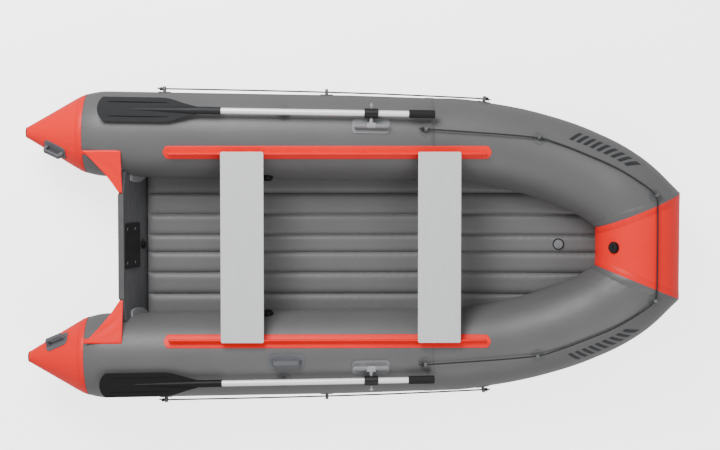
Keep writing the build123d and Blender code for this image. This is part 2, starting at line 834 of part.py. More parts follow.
block_half = oarlock_block_length / 2
pin_tip_u = 174.0
block_outer_u = hinge_u + 16

with BuildPart() as oarlock_block_port:
    with BuildSketch(across(pin_t - block_half, hinge_u, oar_v)):
        Circle(hinge_barrel_radius)
        with Locations((8, 0)):
            Rectangle(16, 2 * hinge_barrel_radius)
    extrude(amount=oarlock_block_length)
    with BuildSketch(pin_plane.offset(block_outer_u - oar_u)):
        Circle(11)
    with BuildSketch(pin_plane.offset(-collar_radius - running_gap)):
        Circle(pin_radius + 1)
    loft()
    with BuildSketch(pin_plane.offset(-collar_radius - running_gap - 1)):
        Circle(pin_radius)
    extrude(amount=pin_tip_u - oar_u + collar_radius + 1)
    with BuildSketch(across(pin_t - block_half, hinge_u, oar_v)):
        Circle(hinge_rod_radius + fit_gap)
    extrude(amount=oarlock_block_length, mode=Mode.SUBTRACT)
    with BuildSketch(across(pin_t, pin_tip_u - 12, oar_v)):
        Circle(2.9)
    extrude(amount=20, both=True, mode=Mode.SUBTRACT)

with BuildPart() as oarlock_ring_port:
    ring_radius = 13.0
    ring_centre = Plane(origin=at_side(pin_t, pin_tip_u - 12, oar_v + ring_radius - 0.6), x_dir=forward, z_dir=outboard)
    wire_centre = Plane(
        origin=ring_centre.origin + forward * ring_radius, x_dir=forward, z_dir=up
    )
    with BuildSketch(wire_centre):
        Circle(1.4)
    revolve(axis=Axis(ring_centre.origin, outboard))

with BuildPart() as oarlock_base_port:
    pad_half = oarlock_base_length / 2
    with BuildSketch(Plane(origin=at_side(pin_t, hinge_u, tube_radius * 0.7), x_dir=forward, z_dir=up)):
        RectangleRounded(oarlock_base_length, 74, 20)
    extrude(amount=120)
    add(aft_envelope(4), mode=Mode.INTERSECT)
    barrel_inner = block_half + 1.5
    barrel_length = pad_half - barrel_inner - 10
    for start in (pin_t - barrel_inner - barrel_length, pin_t + barrel_inner):
        with BuildSketch(across(start, hinge_u, oar_v)):
            Circle(hinge_barrel_radius)
            with Locations((0, -16)):
                Rectangle(2 * hinge_barrel_radius, 32)
        extrude(amount=barrel_length)
    add(aft_near, mode=Mode.SUBTRACT)
    with BuildSketch(across(pin_t - pad_half, hinge_u, oar_v)):
        Circle(hinge_rod_radius + fit_gap)
    extrude(amount=oarlock_base_length, mode=Mode.SUBTRACT)

with BuildPart() as oarlock_rod_port:
    rod_half = pad_half - 8
    with BuildSketch(across(pin_t - rod_half, hinge_u, oar_v)):
        Circle(hinge_rod_radius)
    extrude(amount=2 * rod_half)

with BuildPart() as oar_clip_port:
    with BuildSketch(Plane(origin=at_side(clip_t, oar_u, tube_radius * 0.5), x_dir=forward, z_dir=up)):
        Circle(38)
    extrude(amount=200)
    add(aft_envelope(4), mode=Mode.INTERSECT)
    clip_inner = shaft_radius + clip_clearance
    with BuildSketch(across(clip_t - 11, oar_u, oar_v)):
        Circle(clip_inner + 4)
        with Locations((0, clip_height_over_axis / 2)):
            Rectangle(2 * clip_inner + 8, clip_height_over_axis)
        with Locations((0, clip_height_over_axis + 50)):
            Rectangle(100, 100, mode=Mode.SUBTRACT)
        with Locations((0, -32)):
            Rectangle(22, 46)
        Circle(clip_inner, mode=Mode.SUBTRACT)
        with Locations((0, 25)):
            Rectangle(2 * clip_inner, 50, mode=Mode.SUBTRACT)
    extrude(amount=22)
    add(aft_near, mode=Mode.SUBTRACT)

# ---------------------------------------------------------------- valves


def valve_body(plane, near_skin):
    with BuildPart() as body:
        with BuildSketch(plane.offset(-8)):
            Circle(valve_flange_radius)
        extrude(amount=12)
        add(near_skin, mode=Mode.SUBTRACT)
        with BuildSketch(plane.offset(-18)):
            Circle(valve_barrel_radius)
        extrude(amount=22)
    return body


def valve_cap(plane):
    with BuildPart() as cap:
        with BuildSketch(plane.offset(4 + running_gap)):
            Circle(valve_cap_radius)
        extrude(amount=valve_cap_height)
        fillet(cap.edges(), 2)
        with BuildSketch(plane.offset(4 + running_gap + valve_cap_height - 0.5)):
            SlotOverall(34, 8)
        extrude(amount=4)
    return cap


valve_port = valve_body(side_valve_plane, aft_near)
valve_cap_port = valve_cap(side_valve_plane)
with BuildPart() as valve_bodies:
    add(valve_body(floor_valve_plane, floor_near).part)
    add(valve_body(bow_valve_plane, bow_near).part)
    add(valve_port.part)
    mirror(valve_port.part, about=Plane.XZ)
write(valve_bodies, "valve_bodies")
write(valve_cap(floor_valve_plane), "valve_cap_floor")
write(valve_cap(bow_valve_plane), "valve_cap_bow")

# ---------------------------------------------------------------- handles, eyes


def grab_handle(plane, length, width, outer_skin, near_skin):
    """Moulded handle on a pad that follows the skin: plane's x is along the handle, z out of the skin."""
    arch_plane = Plane(origin=plane.origin, x_dir=plane.x_dir, z_dir=plane.y_dir * -1)
    with BuildPart() as handle:
        with BuildSketch(plane.offset(-24)):
            RectangleRounded(length, width, width * 0.3)
        extrude(amount=40)
        add(outer_skin, mode=Mode.INTERSECT)
        with BuildSketch(arch_plane):
            with BuildLine():
                Polyline(
                    (-length * 0.42, -10),
                    (-length * 0.42, 12),
                    (-length * 0.34, handle_height),
                    (length * 0.34, handle_height),
                    (length * 0.42, 12),
                    (length * 0.42, -10),
                    close=True,
                )
            make_face()
            with Locations((0, patch_thickness + handle_gap / 2)):
                Rectangle(length * 0.58, handle_gap, mode=Mode.SUBTRACT)
        extrude(amount=handle_bar_width / 2, both=True)
        add(near_skin, mode=Mode.SUBTRACT)
    return handle


carry_plane = on_tube(station_at(-333), tube_radius, 5)
carry_port = grab_handle(carry_plane, 183, 79, aft_envelope(4), aft_near)
with BuildPart() as carry_handle_starboard:
    mirror(carry_port.part, about=Plane.XZ)
write(carry_handle_starboard, "carry_handle_starboard")

cone_handle_angle = -46.0
cone_handle_t = -1518.0
cone_station = station_at(cone_handle_t)
cone_radius_there = cone_straight_radius - (cone_straight_t - cone_handle_t) * cone_slope
radial = on_tube(cone_station, cone_radius_there, cone_handle_angle)
half_angle = math.radians(cone_half_angle)
cone_normal = radial.z_dir * math.cos(half_angle) - forward * math.sin(half_angle)
cone_along = forward * math.cos(half_angle) + radial.z_dir * math.sin(half_angle)
cone_handle_plane = Plane(origin=radial.origin, x_dir=cone_along, z_dir=cone_normal)
cone_handle_port = grab_handle(cone_handle_plane, 136, 80, cone_solid(4), cone_solid(running_gap))


def rope_eye(plane, outer_skin, near_skin):
    """Round patch with a tab that a rope passes through along the plane's x."""
    tab_plane = Plane(
        origin=plane.origin - plane.x_dir * eye_tab_thickness / 2, x_dir=plane.y_dir, z_dir=plane.x_dir
    )
    with BuildPart() as eye:
        with BuildSketch(plane.offset(-20)):
            Circle(eye_patch_radius)
        extrude(amount=32)
        add(outer_skin, mode=Mode.INTERSECT)
        with BuildSketch(tab_plane):
            with Locations((0, eye_height)):
                Circle(13)
            with Locations((0, eye_height / 2 - 8)):
                Rectangle(26, eye_height + 16)
        extrude(amount=eye_tab_thickness)
        add(near_skin, mode=Mode.SUBTRACT)
        with BuildSketch(tab_plane):
            with Locations((0, eye_height)):
                Circle(eye_hole_radius)
        extrude(amount=eye_tab_thickness, mode=Mode.SUBTRACT)
    return eye.part


fore_patch = fore_envelope(patch_thickness)
aft_patch = aft_envelope(patch_thickness)
lifeline_planes = [
    on_tube(station_at(-971), tube_radius, 88),
    on_tube(station_at(-132), tube_radius, 88),
    on_tube(fore_station(254), bow_tube_radius, 86),
]
bow_eye_planes = [
    on_tube(station_at(374), bow_tube_radius + 0.5, 12),
    on_tube(fore_station(553), bow_tube_radius, 21),
    on_tube(fore_station(1149), bow_tube_radius, 25),
]
with BuildPart() as lifeline_eyes:
    for eye_plane, outer_skin, near_skin in (
        (lifeline_planes[0], aft_patch, aft_near),
        (lifeline_planes[1], aft_patch, aft_near),
        (lifeline_planes[2], fore_patch, fore_near),
    ):
        eye = rope_eye(eye_plane, outer_skin, near_skin)
        add(eye)
        add(eye.mirror(Plane.XZ))
write(lifeline_eyes, "lifeline_eyes")

with BuildPart() as bow_rope_eyes:
    for eye_plane, outer_skin, near_skin in (
        (bow_eye_planes[0], aft_patch, aft_near),
        (bow_eye_planes[1], fore_patch, fore_near),
        (bow_eye_planes[2], fore_patch, fore_near),
    ):
        eye = rope_eye(eye_plane, outer_skin, near_skin)
        add(eye)
        add(eye.mirror(Plane.XZ))
write(bow_rope_eyes, "bow_rope_eyes")

with BuildPart() as tow_eye:
    add(rope_eye(on_tube(bow_station, bow_tube_radius, tow_eye_angle), bow_envelope(patch_thickness), bow_near))
write(tow_eye, "tow_eye")

# ---------------------------------------------------------------- ropes


def rope(points, diameter, held, name):
    radii = route_radii(points, held)
    with BuildPart() as cord:
        with BuildLine() as route:
            path = FilletPolyline(*points, radius=radii)
        with BuildSketch(Plane(origin=path @ 0, z_dir=path % 0)):
            Circle(diameter / 2)
        sweep(path=path)
    section = math.pi * diameter**2 / 4
    share = cord.part.volume / (section * path.length)
    print(name, "length", round(path.length), "radii", [round(r) for r in radii], "volume share", round(share, 4))
    return cord


lifeline_points = [
    (-992, 810.6, 253.3),
    (-128, 796.5, 253.3),
    (690, 760.6, 263.5),
    (713, 756.8, 264.1),
]
bow_rope_half = [
    (352, 598.9, 471.4),
    (375, 598.5, 471.4),
    (947.4, 558.7, 477.6),
    (1028, 530.1, 479.5),
    (1109, 501.2, 490.6),
    (1188, 466.9, 506.1),
    (1270, 431.9, 522.3),
    (1346.5, 393.7, 539.1),
    (1444, 332, 555.8),
    (1527.4, 269, 565.4),
    (1531, 195, 569.2),
]
bow_rope_points = bow_rope_half + [(x, -y, z) for x, y, z in reversed(bow_rope_half)]
eye_bend = 5 * rope_diameter
bow_turn = 3 * rope_diameter
lifeline_port = rope(lifeline_points, rope_diameter, {}, "lifeline")
held_bends = {2: eye_bend, 9: bow_turn, 12: bow_turn, 19: eye_bend}
bow_rope = rope(bow_rope_points, rope_diameter, held_bends, "bow rope")
write(bow_rope, "bow_rope")

plug_top = 21.0
tether_route = [
    (20, drain_v + 40, 0),
    (20, drain_v + 39, 16),
    (14, drain_v + 27, 30),
    (4, drain_v + 12, 36),
    (0, drain_v, 33),
    (0, drain_v, plug_top + running_gap),
]
tether_points = [tuple(Vector(transom_face.from_local_coords(point))) for point in tether_route]
drain_tether = rope(tether_points, tether_diameter, {}, "drain tether")
write(drain_tether, "drain_tether")

# ---------------------------------------------------------------- both sides

both_sides_in_one_node = {
    "cone_caps": cone_cap_port,
    "bulkheads": bulkhead_port,
    "oarlock_rods": oarlock_rod_port,
    "oar_clips": oar_clip_port,
    "cone_handles": cone_handle_port,
    "transom_gussets": transom_gusset_port,
    "transom_holders": transom_holder_port,
}
for pair_name, port_piece in both_sides_in_one_node.items():
    with BuildPart() as pair:
        add(port_piece.part)
        mirror(port_piece.part, about=Plane.XZ)
    write(pair, pair_name)

port_pieces = {
    "tube_port_aft": tube_port_aft,
    "stern_cone_port": stern_cone_port,
    "seat_rail_port": seat_rail_port,
    "oar_blade_port": oar_blade_port,
    "oar_shaft_lower_port": oar_shaft_lower_port,
    "oar_shaft_upper_port": oar_shaft_upper_port,
    "oar_grip_port": oar_grip_port,
    "oar_collar_port": oar_collar_port,
    "oarlock_block_port": oarlock_block_port,
    "oarlock_ring_port": oarlock_ring_port,
    "oarlock_base_port": oarlock_base_port,
    "valve_cap_port": valve_cap_port,
    "lifeline_port": lifeline_port,
}
for port_name, port_piece in port_pieces.items():
    write(port_piece, port_name)
    with BuildPart() as starboard_piece:
        mirror(port_piece.part, about=Plane.XZ)
    write(starboard_piece, port_name.replace("port", "starboard"))

for fore_name, panels in (
    ("tube_port_fore", fore_panels),
    ("tube_starboard_fore", [panel.mirror(Plane.XZ) for panel in fore_panels]),
):
    export_step(Compound(label=fore_name, children=panels), f"parts/{fore_name}.step")

write(transom_board, "transom_board")
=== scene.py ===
import math

import bmesh
import bpy
import numpy as np
from mathutils import Matrix, Vector


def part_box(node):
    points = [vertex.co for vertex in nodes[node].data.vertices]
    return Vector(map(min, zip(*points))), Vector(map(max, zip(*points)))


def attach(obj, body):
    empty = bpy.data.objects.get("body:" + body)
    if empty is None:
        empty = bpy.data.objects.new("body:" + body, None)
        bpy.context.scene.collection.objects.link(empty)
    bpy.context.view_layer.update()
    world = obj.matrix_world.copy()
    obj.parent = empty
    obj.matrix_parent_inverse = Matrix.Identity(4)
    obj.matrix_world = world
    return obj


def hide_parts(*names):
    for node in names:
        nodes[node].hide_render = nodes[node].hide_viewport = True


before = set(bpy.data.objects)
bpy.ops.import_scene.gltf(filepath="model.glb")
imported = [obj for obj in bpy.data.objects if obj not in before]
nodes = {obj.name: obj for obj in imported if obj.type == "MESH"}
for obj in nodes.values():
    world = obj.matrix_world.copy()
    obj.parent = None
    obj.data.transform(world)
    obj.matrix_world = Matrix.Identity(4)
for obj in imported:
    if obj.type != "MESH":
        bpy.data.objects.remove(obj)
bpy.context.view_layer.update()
scene = bpy.context.scene

# ---------------------------------------------------------------- camera

camera_data = bpy.data.cameras.new("camera")
camera = bpy.data.objects.new("camera", camera_data)
scene.collection.objects.link(camera)
camera.location = (-0.059, 0.45, 7.745)
camera_data.lens = 72.0
camera_data.sensor_width = 36.0
aim_back = (camera.location - Vector((0.045, 0.103, 0.245))).normalized()
camera_right = Vector((0, 1, 0)).cross(aim_back).normalized()
camera_up = aim_back.cross(camera_right)
camera.rotation_euler = Matrix((camera_right, camera_up, aim_back)).transposed().to_euler()
scene.camera = camera

# ---------------------------------------------------------------- materials


def shader(name, roughness, metallic=0.0, **inputs):
    mat = bpy.data.materials.new(name)
    mat.use_nodes = True
    tree = mat.node_tree
    surface = tree.nodes["Principled BSDF"]
    surface.inputs["Roughness"].default_value = roughness
    surface.inputs["Metallic"].default_value = metallic
    for key, value in inputs.items():
        surface.inputs[key.replace("_", " ")].default_value = value
    where = tree.nodes.new("ShaderNodeTexCoord").outputs["Object"]
    return mat, tree, surface, where


def noise(tree, where, scale, detail=2.0, stretch=(1, 1, 1)):
    mapping = tree.nodes.new("ShaderNodeMapping")
    mapping.inputs["Scale"].default_value = stretch
    tree.links.new(where, mapping.inputs["Vector"])
    node = tree.nodes.new("ShaderNodeTexNoise")
    node.inputs["Scale"].default_value = scale
    node.inputs["Detail"].default_value = detail
    tree.links.new(mapping.outputs["Vector"], node.inputs["Vector"])
    return node.outputs["Fac"]


def ramp(tree, value, stops):
    node = tree.nodes.new("ShaderNodeValToRGB")
    band = node.color_ramp
    while len(band.elements) < len(stops):
        band.elements.new(0.5)
    for element, (position, colour) in zip(band.elements, stops):
        element.position = position
        element.color = (*colour, 1)
    tree.links.new(value, node.inputs["Fac"])
    return node.outputs["Color"]


def bump(tree, surface, height, strength, distance, before=None):
    node = tree.nodes.new("ShaderNodeBump")
    node.inputs["Strength"].default_value = strength
    node.inputs["Distance"].default_value = distance
    tree.links.new(height, node.inputs["Height"])
    if before is not None:
        tree.links.new(before, node.inputs["Normal"])
    tree.links.new(node.outputs["Normal"], surface.inputs["Normal"])
    return node.outputs["Normal"]


def shades(colour, spread):
    low = tuple(c * (1 - spread) for c in colour)
    high = tuple(min(1, c * (1 + spread)) for c in colour)
    return low, high


def coated_fabric(name, colour, roughness=0.42, spread=0.05, weave=0.25, gloss=0.45):
    """Coated cloth: a fine weave under a smooth coat, with faint scuffs and soft waves."""
    mat, tree, surface, where = shader(name, roughness, Specular_IOR_Level=gloss)
    low, high = shades(colour, spread)
    soft = noise(tree, where, 3.2, 3)
    tree.links.new(ramp(tree, soft, [(0.3, low), (0.7, high)]), surface.inputs["Base Color"])
    scuff = noise(tree, where, 26, 6, (1, 1, 2.5))
    rough = tree.nodes.new("ShaderNodeMapRange")
    rough.inputs["To Min"].default_value = roughness - 0.07
    rough.inputs["To Max"].default_value = roughness + 0.1
    tree.links.new(scuff, rough.inputs["Value"])
    tree.links.new(rough.outputs["Result"], surface.inputs["Roughness"])
    threads = []
    for direction in ("X", "Z"):
        wave = tree.nodes.new("ShaderNodeTexWave")
        wave.bands_direction = direction
        wave.inputs["Scale"].default_value = 260
        wave.inputs["Distortion"].default_value = 0.6
        tree.links.new(where, wave.inputs["Vector"])
        threads.append(wave.outputs["Fac"])
    both = tree.nodes.new("ShaderNodeMath")
    both.operation = "MULTIPLY"
    tree.links.new(threads[0], both.inputs[0])
    tree.links.new(threads[1], both.inputs[1])
    first = bump(tree, surface, both.outputs[0], weave, 0.0004)
    bump(tree, surface, noise(tree, where, 9, 3), 0.35, 0.004, first)
    return mat


def moulded(name, colour, roughness=0.5, spread=0.08, grain=700, strength=0.25, gloss=0.5):
    """Moulded plastic or rubber with a fine spark-eroded grain."""
    mat, tree, surface, where = shader(name, roughness, Specular_IOR_Level=gloss)
    low, high = shades(colour, spread)
    soft = noise(tree, where, 18, 4)
    tree.links.new(ramp(tree, soft, [(0.3, low), (0.7, high)]), surface.inputs["Base Color"])
    bump(tree, surface, noise(tree, where, grain, 2), strength, 0.0005)
    return mat


def painted_board(name, colour, roughness=0.42, spread=0.07, grain_axis=(3, 40, 40)):
    """Painted plywood: the grain shows a little through the paint."""
    mat, tree, surface, where = shader(name, roughness)
    low, high = shades(colour, spread)
    grain = noise(tree, where, 3.5, 6, grain_axis)
    tree.links.new(ramp(tree, grain, [(0.35, low), (0.65, high)]), surface.inputs["Base Color"])
    first = bump(tree, surface, grain, 0.2, 0.0012)
    bump(tree, surface, noise(tree, where, 320, 2), 0.12, 0.0006, first)
    return mat


def brushed_metal(name, colour, roughness, stretch, metallic=1.0):
    mat, tree, surface, where = shader(name, roughness, metallic)
    low, high = shades(colour, 0.05)
    lines = noise(tree, where, 40, 4, stretch)
    tree.links.new(ramp(tree, lines, [(0.3, low), (0.7, high)]), surface.inputs["Base Color"])
    bump(tree, surface, lines, 0.12, 0.0004)
    return mat


def braided(name, colour):
    mat, tree, surface, where = shader(name, 0.8)
    low, high = shades(colour, 0.45)
    strands = tree.nodes.new("ShaderNodeTexWave")
    strands.bands_direction = "DIAGONAL"
    strands.inputs["Scale"].default_value = 75
    strands.inputs["Distortion"].default_value = 1.5
    tree.links.new(where, strands.inputs["Vector"])
    tree.links.new(ramp(tree, strands.outputs["Fac"], [(0.2, low), (0.8, high)]), surface.inputs["Base Color"])
    bump(tree, surface, strands.outputs["Fac"], 0.7, 0.0012)
    return mat


grey = coated_fabric("hull_grey", (0.105, 0.105, 0.107))
grey_tape = coated_fabric("hull_grey_tape", (0.098, 0.098, 0.10), 0.38)
floor_grey = coated_fabric("floor_grey", (0.125, 0.125, 0.127), 0.46)
red = coated_fabric("red", (0.95, 0.009, 0.006), 0.42, 0.03, gloss=0.25)
red_tape = coated_fabric("red_tape", (0.88, 0.008, 0.006), 0.40, 0.03, gloss=0.25)
mark_dark = coated_fabric("mark_dark", (0.014, 0.015, 0.018), 0.45)
black = moulded("black_plastic", (0.010, 0.010, 0.011), 0.42, gloss=0.3)
black_rubber = moulded("black_rubber", (0.022, 0.022, 0.024), 0.62, grain=420, strength=0.4)
handle_rubber = moulded("handle_rubber", (0.10, 0.105, 0.115), 0.6, grain=420, strength=0.4)
dark_grip = moulded("grip_foam", (0.010, 0.010, 0.011), 0.75, grain=260, strength=0.6, gloss=0.3)
grey_plastic = moulded("grey_plastic", (0.30, 0.305, 0.315), 0.5)
eye_grey = moulded("eye_grey", (0.088, 0.089, 0.091), 0.5)
base_grey = moulded("base_grey", (0.19, 0.193, 0.20), 0.45)
trim_grey = moulded("trim_grey", (0.075, 0.076, 0.078), 0.5)
holder_grey = moulded("holder_grey", (0.24, 0.245, 0.255), 0.5)
valve_grey = moulded("valve_grey", (0.16, 0.17, 0.18), 0.5)
track_grey = moulded("track_grey", (0.30, 0.31, 0.32), 0.5)
# The port and starboard blades are one black plastic in two copies: the port copy is painted lighter as a painted
# highlight of the light falling on the port side, the starboard copy darker as painted shade.
blade_painted_lit_port = moulded("blade_painted_lit_port", (0.017, 0.0175, 0.019), 0.5, gloss=0.25)
blade_painted_shade_starboard = moulded("blade_painted_shade_starboard", (0.005, 0.0052, 0.0056), 0.48, gloss=0.22)
# Near-black strips for the blade grooves: painted shade laid on the slot floors for the darkness inside the slots.
groove_painted_shade = moulded("groove_painted_shade", (0.0008, 0.0008, 0.0009), 0.95)
seat = painted_board("seat_paint", (0.60, 0.61, 0.62), 0.36, 0.025, (30, 2, 30))
board = painted_board("transom_paint", (0.085, 0.088, 0.095), 0.5, 0.2, (40, 3, 40))
aluminium = brushed_metal("aluminium", (0.94, 0.94, 0.95), 0.4, (1, 25, 25), 0.3)
steel = brushed_metal("steel", (0.66, 0.67, 0.68), 0.24, (8, 8, 1))
rope_dark = braided("rope_dark", (0.018, 0.019, 0.022))

# ---------------------------------------------------------------- ropes

hull = "hull"


def cord(name, points, diameter, replaced):
    """A rope as one smooth tube along its points, in place of its CAD node."""
    data = bpy.data.curves.new(name, "CURVE")
    data.dimensions = "3D"
    spline = data.splines.new("NURBS")
    spline.points.add(len(points) - 1)
    for point, place in zip(spline.points, points):
        point.co = (*place, 1)
    spline.order_u = 3
    spline.use_endpoint_u = True
    spline.resolution_u = 6
    data.bevel_depth = diameter / 2
    data.bevel_resolution = 3
    data.use_fill_caps = True
    data.materials.append(rope_dark)
    rope = bpy.data.objects.new(name, data)
    scene.collection.objects.link(rope)
    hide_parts(replaced)
    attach(rope, hull)
    return rope


def starboard_points(points):
    return [(x, -y, z) for x, y, z in points]


lifeline = [
    (-0.992, 0.8106, 0.2533),
    (-0.128, 0.7965, 0.2533),
    (0.690, 0.7606, 0.2635),
    (0.713, 0.7568, 0.2641),
]
bow_half = [
    (0.352, 0.5989, 0.4714),
    (0.375, 0.5985, 0.4714),
    (0.9474, 0.5587, 0.4776),
    (1.028, 0.5301, 0.4795),
    (1.109, 0.5012, 0.4906),
    (1.188, 0.4669, 0.5061),
    (1.270, 0.4319, 0.5223),
    (1.3465, 0.3937, 0.5391),
    (1.444, 0.332, 0.5558),
    (1.5274, 0.269, 0.5654),
    (1.531, 0.195, 0.5692),
]
tether = [
    (-1.1086, 0.020, 0.1957),
    (-1.0929, 0.020, 0.1989),
    (-1.0763, 0.014, 0.1909),
    (-1.0666, 0.004, 0.1780),
    (-1.0664, 0.0, 0.1655),
    (-1.0777, 0.0, 0.1625),
]
bow_points = bow_half + starboard_points(reversed(bow_half))
rope_port = cord("lifeline_cord_port", lifeline, 0.008, "lifeline_port")
rope_starboard = cord("lifeline_cord_starboard", starboard_points(lifeline), 0.008, "lifeline_starboard")
rope_bow = cord("bow_cord", bow_points, 0.008, "bow_rope")
rope_tether = cord("drain_cord", tether, 0.003, "drain_tether")


def stopper_knot(name, end, before):
    """Barrel knot at a rope's end: three snug turns round the rope, with a short tail."""
    end, before = Vector(end), Vector(before)
    along = (before - end).normalized()
    side = along.orthogonal().normalized()
    third = along.cross(side)
    points = []
    for index in range(26):
        angle = index * math.tau / 8
        radius = 0.0062 + 0.0016 * math.sin(angle * 0.31)
        shift = 0.001 + index * 0.00092
        points.append(end + along * shift + (side * math.cos(angle) + third * math.sin(angle)) * radius)
    points.append(end - along * 0.003 + side * 0.004)
    points.append(end - along * 0.012 + side * 0.002)
    data = bpy.data.curves.new(name, "CURVE")
    data.dimensions = "3D"
    spline = data.splines.new("NURBS")
    spline.points.add(len(points) - 1)
    for point, place in zip(spline.points, points):
        point.co = (*place, 1)
    spline.order_u = 3
    spline.use_endpoint_u = True
    spline.resolution_u = 4
    data.bevel_depth = 0.0036
    data.bevel_resolution = 2
    data.use_fill_caps = True
    data.materials.append(rope_dark)
    knot = bpy.data.objects.new(name, data)
    scene.collection.objects.link(knot)
    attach(knot, hull)
    return knot


for rope_name, points in (
    ("lifeline_port", lifeline),
    ("lifeline_starboard", starboard_points(lifeline)),
    ("bow_rope", bow_points),
):
    stopper_knot(f"knot_{rope_name}_first", points[0], points[1])
    stopper_knot(f"knot_{rope_name}_last", points[-1], points[-2])
starboard_points(lifeline)[0]

# ---------------------------------------------------------------- shape of the tubes

toe = math.radians(0.935)
tube_start = np.array([0.0, 0.5565, 0.245])
aft_heading = np.array([math.cos(toe), -math.sin(toe), 0.0])
big_radius = 0.220
bow_radius = 0.213
cone_tip = -1.678
stern_seam = -1.384
shoulder_end = stern_seam + 0.127
seam_radius = 0.196
chamber_seam = 0.400
mitre_point = np.array([1.471, 0.1871, 0.356])
end_heading = np.array([0.70, -0.714, 0.0])
end_heading /= np.linalg.norm(end_heading)
mitre_normal = end_heading + np.array([0.0, -1.0, 0.0])
mitre_normal /= np.linalg.norm(mitre_normal)
fore_corners = [
    tube_start + aft_heading * 0.400,
    tube_start + aft_heading * 0.567,
    np.array([0.855, 0.500, 0.253]),
    np.array([1.092, 0.430, 0.279]),
    np.array([1.283, 0.341, 0.320]),
    np.array([1.401, 0.2585, 0.356]),
    mitre_point + end_heading * 0.24,
]


def rounded_line(corners, share=0.45, steps=14):
    """Points along straight runs with a smooth bend at each corner."""
    line = [corners[0]]
    for before, corner, after in zip(corners, corners[1:], corners[2:]):
        back, ahead = before - corner, after - corner
        reach = share * min(np.linalg.norm(back), np.linalg.norm(ahead))
        start = corner + back / np.linalg.norm(back) * reach
        stop = corner + ahead / np.linalg.norm(ahead) * reach
        for k in range(steps + 1):
            w = k / steps
            line.append((1 - w) ** 2 * start + 2 * w * (1 - w) * corner + w**2 * stop)
    line.append(corners[-1])
    return np.array(line)


bent_line = rounded_line(fore_corners)
bent_runs = np.concatenate([[0], np.cumsum(np.linalg.norm(np.diff(bent_line, axis=0), axis=1))])
fore_steps = np.linspace(0, bent_runs[-1], 420)
fore_line = np.stack([np.interp(fore_steps, bent_runs, bent_line[:, k]) for k in range(3)], axis=1)
axis_line = np.vstack([[tube_start + aft_heading * t for t in np.linspace(-1.7, 0.4, 520)], fore_line[1:]])
fore_runs = np.concatenate([[0], np.cumsum(np.linalg.norm(np.diff(fore_line, axis=0), axis=1))])
world_up = np.array([0.0, 0.0, 1.0])


def axis_at(s):
    """Centre and heading of the port tube at s, its distance forward of amidships."""
    if s <= chamber_seam:
        return tube_start + aft_heading * s, aft_heading
    run = s - chamber_seam
    place = np.array([np.interp(run, fore_runs, fore_line[:, k]) for k in range(3)])
    ahead = np.array([np.interp(run + 0.004, fore_runs, fore_line[:, k]) for k in range(3)])
    behind = np.array([np.interp(run - 0.004, fore_runs, fore_line[:, k]) for k in range(3)])
    heading = ahead - behind
    return place, heading / np.linalg.norm(heading)


cone_slope = math.tan(math.radians(30.4))
shoulder_drop = big_radius - seam_radius
shoulder_bend = (0.127**2 + shoulder_drop**2) / (2 * shoulder_drop)
cone_start = shoulder_end - shoulder_bend * math.sin(math.radians(30.4))


def shoulder_radius(s):
    return big_radius - shoulder_bend + math.sqrt(shoulder_bend**2 - (s - shoulder_end) ** 2)


def radius_at(s):
    if s < cone_start:
        return shoulder_radius(cone_start) - (cone_start - s) * cone_slope
    if s < shoulder_end:
        return shoulder_radius(s)
    if s < 0:
        return big_radius
    return max(bow_radius, big_radius - (big_radius - bow_radius) * s / chamber_seam)


def on_skin(s, angle, extra=0.0):
    """Point on the port tube's skin, angle radians outboard of its top."""
    centre, heading = axis_at(s)
    side = np.cross(world_up, heading)
    side /= np.linalg.norm(side)
    lift = np.cross(heading, side)
    return centre + (radius_at(s) + extra) * (lift * math.cos(angle) + side * math.sin(angle))


def mitre_end(angle, extra=0.0):
    """Where the skin line at that angle meets the mitre."""
    low, high = 1.2, 1.75
    for _ in range(30):
        middle = (low + high) / 2
        if np.dot(on_skin(middle, angle, extra) - mitre_point, mitre_normal) < 0:
            low = middle
        else:
            high = middle
    return (low + high) / 2


def ripple(s, angle, seam, reach=0.045, size=0.0011):
    """Small puckers that run out from a welded seam."""
    fade = math.exp(-(((s - seam) / reach) ** 2))
    waves = math.sin(angle * 31 + 1.7 * math.sin(angle * 5)) + 0.6 * math.sin(angle * 53 + 2.1)
    return size * fade * waves


# ---------------------------------------------------------------- meshes


def add_mesh(name, verts, faces, mat, slot, body=hull, stands_for=(), thick=0.0, mirror=False, up=False):
    verts = np.array(verts, float)
    if mirror:
        verts = verts * (1, -1, 1)
        faces = [face[::-1] for face in faces]
    mesh = bpy.data.meshes.new(name)
    mesh.from_pydata(verts.tolist(), [], [tuple(face) for face in faces])
    work = bmesh.new()
    work.from_mesh(mesh)
    bmesh.ops.remove_doubles(work, verts=work.verts, dist=2e-5)
    bmesh.ops.dissolve_degenerate(work, edges=work.edges, dist=1e-6)
    if up:
        work.normal_update()
        if sum(face.normal.z * face.calc_area() for face in work.faces) < 0:
            bmesh.ops.reverse_faces(work, faces=work.faces)
    else:
        bmesh.ops.recalc_face_normals(work, faces=work.faces)
    for face in work.faces:
        face.smooth = True
    work.to_mesh(mesh)
    work.free()
    mesh.materials.append(mat)
    obj = bpy.data.objects.new(name, mesh)
    scene.collection.objects.link(obj)
    if thick:
        solid = obj.modifiers.new("thickness", "SOLIDIFY")
        solid.thickness = thick
        solid.offset = 1
    if stands_for:
        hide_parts(*stands_for)
    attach(obj, body)
    return obj


def grid(rows, wrap=False):
    """Verts and faces of a grid of points, rows by columns."""
    count = len(rows[0])
    verts = [point for row in rows for point in row]
    faces = []
    for i in range(len(rows) - 1):
        for j in range(count if wrap else count - 1):
            k = (j + 1) % count
            faces.append((i * count + j, i * count + k, (i + 1) * count + k, (i + 1) * count + j))
    return verts, faces


def both_sides(name, shape, mat, slot, stands_for="", **more):
    """The same mesh to port and mirrored to starboard."""
    for side in ("port", "starboard"):
        node_names = (stands_for.replace("SIDE", side),) if stands_for else ()
        add_mesh(f"{name}_{side}", *shape, mat, slot, stands_for=node_names, mirror=side == "starboard", **more)


